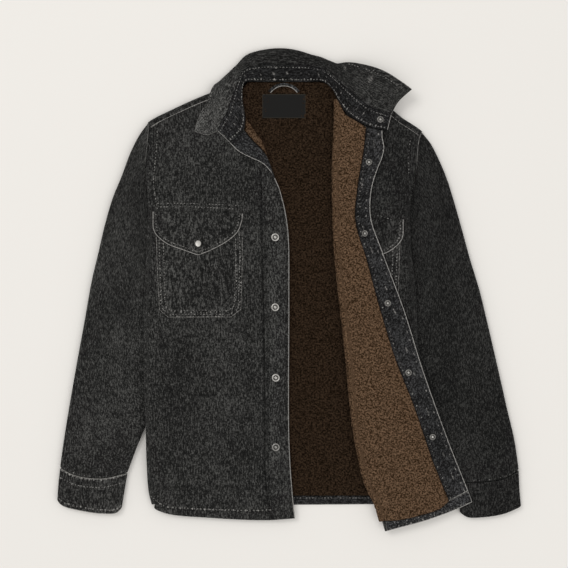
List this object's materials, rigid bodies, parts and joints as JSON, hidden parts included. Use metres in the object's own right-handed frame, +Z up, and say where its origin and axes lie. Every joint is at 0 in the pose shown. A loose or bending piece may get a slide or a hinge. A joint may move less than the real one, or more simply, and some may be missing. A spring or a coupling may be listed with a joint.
{
  "type": "denim shirt jacket",
  "caption": "Black washed denim shirt jacket with fleece lining, laid flat with its left front folded open.",
  "frame": {"origin": "on the flat underside of the back, between the side seams and near the middle of its length", "axes": "+Z up from the surface the jacket lies on, +Y towards the collar, +X towards the wearer's left side"},
  "size_m": [0.7902, 0.8217, 0.0345],
  "materials": {
    "denim": "washed twill",
    "denim_inside": "washed twill, creased",
    "fleece": "knubbly pile",
    "label": "woven satin",
    "snap_metal": "antique nickel"
  },
  "bodies": {
    "root": {"back_panel": "denim", "back_yoke": "denim", "front_right": "denim", "front_right_placket": "denim", "front_left": "denim", "pocket_right": "denim", "flap_right": "denim", "pocket_left": "denim", "flap_left": "denim", "collar_leaf": "denim", "sleeve_right": "denim", "sleeve_left": "denim", "cuff_right": "denim", "cuff_left": "denim", "back_hem_facing": "denim_inside", "front_right_facing": "denim_inside", "front_left_facing": "denim_inside", "front_left_hem_facing": "denim_inside", "collar_stand": "denim_inside", "hanger_loop": "denim_inside", "back_lining": "fleece", "front_right_lining": "fleece", "front_left_lining": "fleece", "neck_label": "label", "stud_1": "snap_metal", "stud_2": "snap_metal", "stud_3": "snap_metal", "stud_4": "snap_metal", "socket_1": "snap_metal", "socket_2": "snap_metal", "socket_3": "snap_metal", "socket_4": "snap_metal", "socket_5": "snap_metal", "socket_6": "snap_metal", "flap_cap": "snap_metal"}
  },
  "joints": []
}
